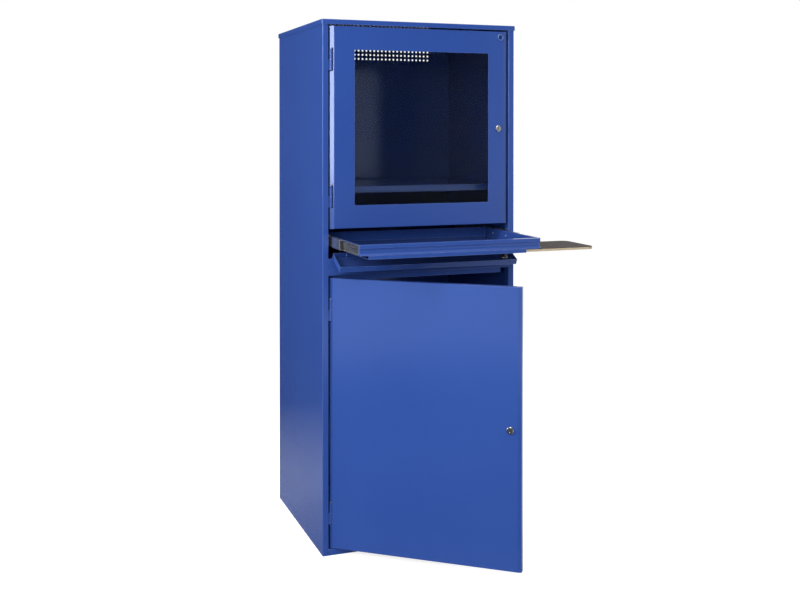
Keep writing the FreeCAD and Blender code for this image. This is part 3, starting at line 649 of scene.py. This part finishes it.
def cameraSeen(tree):
    # one for the rays that show the surroundings as they are, until the first soft bounce
    path = addNode(tree, "ShaderNodeLightPath")
    first = addNode(tree, "ShaderNodeMath", operation="MAXIMUM")
    both = addNode(tree, "ShaderNodeMath", operation="MAXIMUM")
    tree.links.new(path.outputs["Is Camera Ray"], first.inputs[0])
    tree.links.new(path.outputs["Is Glossy Ray"], first.inputs[1])
    tree.links.new(first.outputs[0], both.inputs[0])
    tree.links.new(path.outputs["Is Transmission Ray"], both.inputs[1])
    direct = addNode(tree, "ShaderNodeMath", {1: beforeFirstBounce}, operation="LESS_THAN")
    tree.links.new(path.outputs["Diffuse Depth"], direct.inputs[0])
    seen = addNode(tree, "ShaderNodeMath", operation="MULTIPLY")
    tree.links.new(both.outputs[0], seen.inputs[0])
    tree.links.new(direct.outputs[0], seen.inputs[1])
    return seen.outputs[0]


surroundings = {
    "ambient": 0.35, "seen": 1.0, "floorSize": 40.0, "floorLevel": -0.0006, "floorRough": 0.9,
    "floorColour": (0.60, 0.60, 0.60), "floorGlow": 0.79,
}


def makeSurroundings(spec):
    world = bpy.data.worlds.new("studio")
    scene.world = world
    world.use_nodes = True
    tree = world.node_tree
    background = tree.nodes["Background"]
    background.inputs["Color"].default_value = (1, 1, 1, 1)
    strength = ramp(tree, cameraSeen(tree), 0, 1, spec["ambient"], spec["seen"])
    tree.links.new(strength, background.inputs["Strength"])

    deselectAll()
    bpy.ops.mesh.primitive_plane_add(size=spec["floorSize"], location=(0, 0, spec["floorLevel"]))
    floor = bpy.context.object
    floor.name = "studioFloor"
    plain = {
        "Base Color": (*spec["floorColour"], 1), "Roughness": spec["floorRough"],
        "Specular IOR Level": 0, "Emission Color": (1, 1, 1, 1),
    }
    material, tree, shader, _ = newMaterial("floorWhite", **plain)
    glow = ramp(tree, cameraSeen(tree), 0, 1, 0, spec["floorGlow"])
    tree.links.new(glow, shader.inputs["Emission Strength"])
    floor.data.materials.append(material)


makeSurroundings(surroundings)

# dark cards that only reflections see, so that flat paint and the pane stay deep
darkCards = {
    "cardBehind": {"place": (-1.5, 2.6, 1.6), "turn": (90, 0, 0), "size": (5.2, 5.2), "cover": 1.0},
    "cardBelow": {"place": (-1.0, 3.0, 0.001), "turn": (0, 0, 0), "size": (3.2, 5.2), "cover": 1.0},
    "cardSide": {"place": (-0.7, 0.5, 0.003), "turn": (0, 0, 0), "size": (2.0, 3.2), "cover": 0.75},
    "cardFront": {"place": (0.7, -4.6, 2.4), "turn": (90, 0, 20), "size": (4.2, 4.4), "cover": 1.0},
    "cardLow": {"place": (1.5, -4.5, 0.0), "turn": (90, 0, 20), "size": (2.6, 1.5), "cover": 1.0},
    "cardLeft": {"place": (-0.9, -1.7, 0.002), "turn": (0, 0, 0), "size": (4.4, 4.0), "cover": 1.0},
}
cardLook = {"colour": (0.02, 0.02, 0.022), "rough": 0.9, "halfToOne": (2, 2, 0), "solidFrom": 0.4}


def makeCardMaterial(name, look, cover):
    # fades out towards the edges, so that no reflection shows a border
    plain = {"Base Color": (*look["colour"], 1), "Roughness": look["rough"]}
    material, tree, shader, coords = newMaterial(name, **plain)
    spread = addNode(tree, "ShaderNodeVectorMath", {1: look["halfToOne"]}, operation="MULTIPLY")
    tree.links.new(coords.outputs["Object"], spread.inputs[0])
    fade = addNode(tree, "ShaderNodeTexGradient", gradient_type="SPHERICAL")
    tree.links.new(spread.outputs[0], fade.inputs["Vector"])
    tree.links.new(ramp(tree, fade.outputs["Fac"], 0, look["solidFrom"], 0, cover), shader.inputs["Alpha"])
    return material


def makeDarkCard(name, spec):
    deselectAll()
    turn = [math.radians(angle) for angle in spec["turn"]]
    bpy.ops.mesh.primitive_plane_add(size=1, location=spec["place"], rotation=turn)
    card = bpy.context.object
    card.name = name
    card.scale = (*spec["size"], 1)
    card.data.materials.append(makeCardMaterial(name + "Black", cardLook, spec["cover"]))
    card.visible_camera = card.visible_diffuse = False
    card.visible_shadow = card.visible_transmission = False


for cardName, cardSpec in darkCards.items():
    makeDarkCard(cardName, cardSpec)

lamps = {
    "leftBank": {"place": (-3.0, -1.10, 2.15), "aim": (-0.3, -0.3, 1.6), "size": (0.40, 1.7), "power": 62.0},
    "sideFill": {"place": (-2.6, 1.0, 1.7), "aim": (-0.3, 0.0, 0.9), "size": (1.2, 1.6), "power": 27.0},
    "rightFill": {"place": (2.6, 1.1, 1.8), "aim": (0.3, 0.0, 0.9), "size": (1.2, 1.6), "power": 36.0},
    "frontFill": {"place": (-0.3, -4.2, 2.4), "aim": (0.1, -0.3, 1.4), "size": (1.6, 1.4), "power": 40.0},
    "edgeBank": {"place": (-1.85, -3.05, 1.85), "aim": (-0.3, -0.3, 1.5), "size": (0.5, 1.8), "power": 48.0},
    "topBank": {"place": (-0.5, -0.9, 3.5), "aim": (-0.1, -0.3, 0.8), "size": (1.3, 1.2), "power": 24.0},
}


def makeLamp(name, spec):
    light = bpy.data.lights.new(name, "AREA")
    light.shape = "RECTANGLE"
    light.size, light.size_y = spec["size"]
    light.energy = spec["power"]
    lamp = bpy.data.objects.new(name, light)
    scene.collection.objects.link(lamp)
    lamp.visible_transmission = False  # the room behind the pane stays dim
    lamp.location = spec["place"]
    beam = Vector(spec["aim"]) - Vector(spec["place"])
    lamp.rotation_euler = beam.to_track_quat("-Z", "Y").to_euler()


for lampName, lampSpec in lamps.items():
    makeLamp(lampName, lampSpec)

viewpoint = {
    "place": (-1.21936, -3.36206, 1.31093), "yaw": 20.383, "pitch": 0.626, "roll": 0.017,
    "lens": 47.18, "sensor": 36.0, "shiftY": -0.1985,
}


def makeCamera(spec):
    data = bpy.data.cameras.new("viewpoint")
    data.sensor_fit = "HORIZONTAL"
    data.sensor_width = spec["sensor"]
    data.lens = spec["lens"]
    data.shift_y = spec["shiftY"]
    camera = bpy.data.objects.new("viewpoint", data)
    scene.collection.objects.link(camera)
    turn = Matrix.Rotation(math.radians(-spec["yaw"]), 4, "Z")
    tilt = Matrix.Rotation(math.radians(90 - spec["pitch"]), 4, "X")
    roll = Matrix.Rotation(math.radians(spec["roll"]), 4, "Z")
    camera.matrix_world = Matrix.Translation(spec["place"]) @ turn @ tilt @ roll
    scene.camera = camera


makeCamera(viewpoint)
scene.view_settings.view_transform = "Standard"
print("light and camera set")
